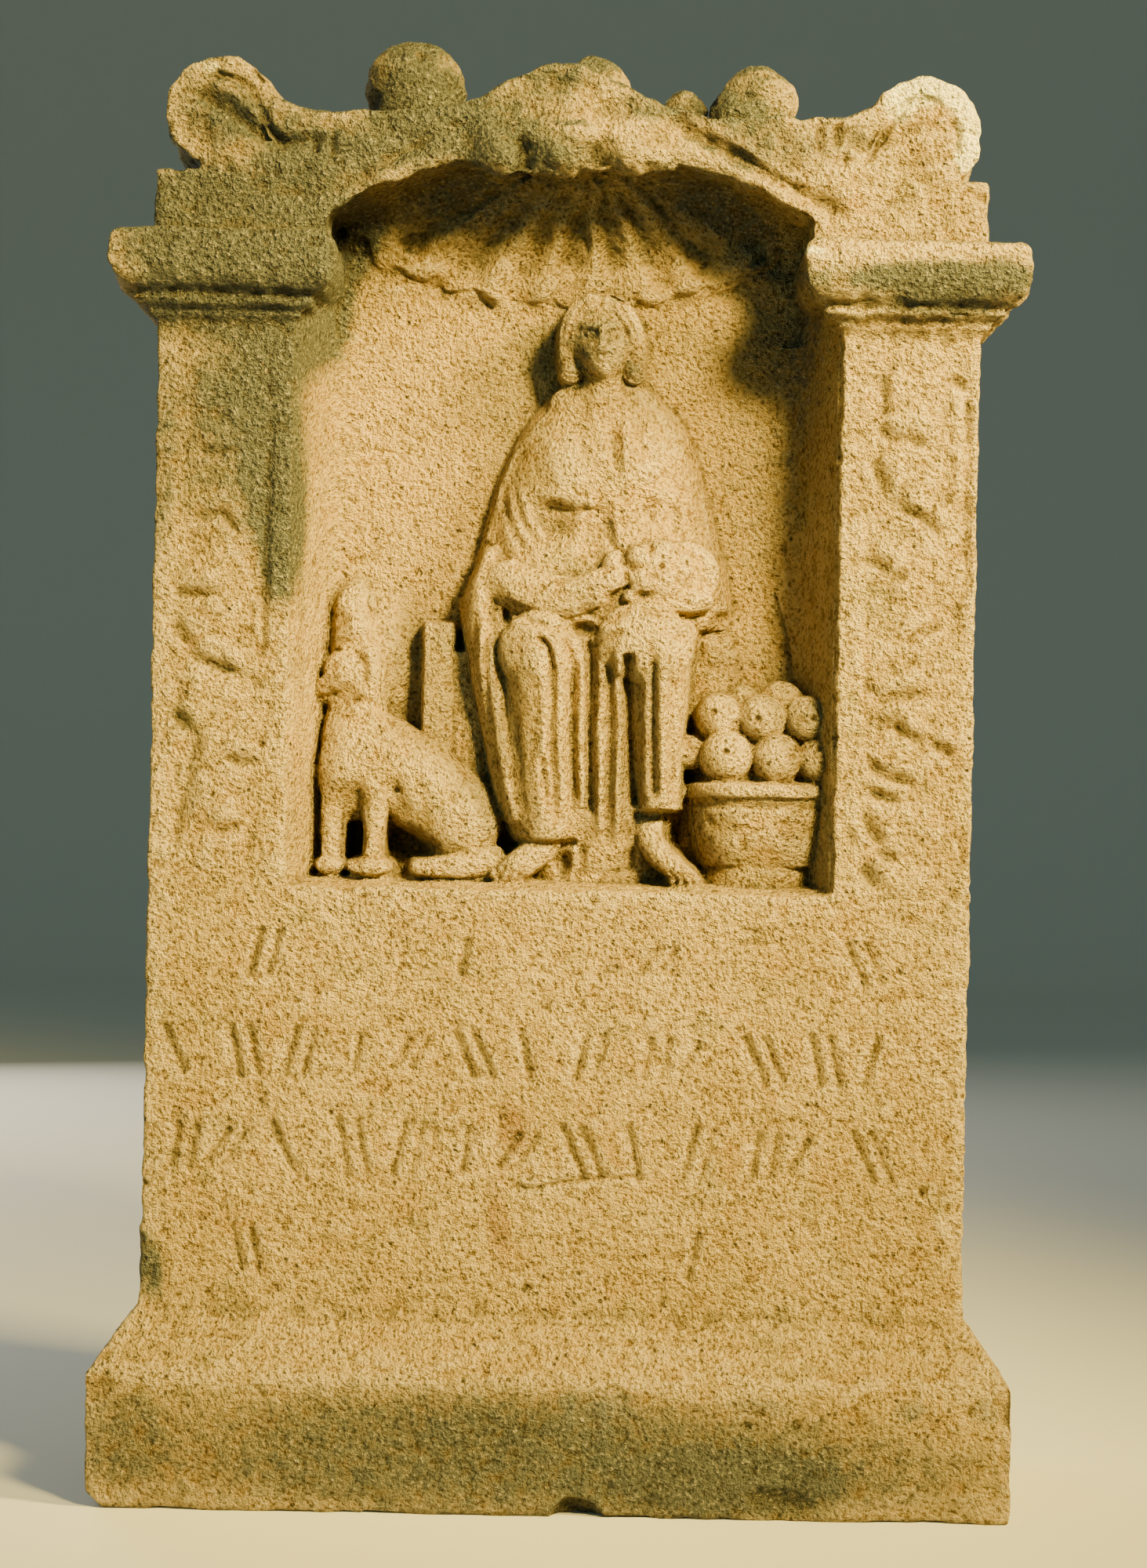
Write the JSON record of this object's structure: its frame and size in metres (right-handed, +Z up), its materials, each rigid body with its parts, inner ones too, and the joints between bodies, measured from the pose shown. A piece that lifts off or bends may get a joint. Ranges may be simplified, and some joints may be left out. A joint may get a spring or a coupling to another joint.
{
  "type": "votive altar",
  "caption": "Weathered limestone votive altar with a seated goddess, a dog and a fruit basket in an arched niche between pilasters, on its own plinth.",
  "frame": {"origin": "middle of the plinth's underside", "axes": "+Z up, -Y towards the viewer of the carved front, +X to the viewer's right"},
  "size_m": [0.568, 0.26, 0.9211],
  "materials": {
    "stone": "weathered, grainy limestone"
  },
  "bodies": {
    "root": {"altar": "stone"}
  },
  "joints": []
}
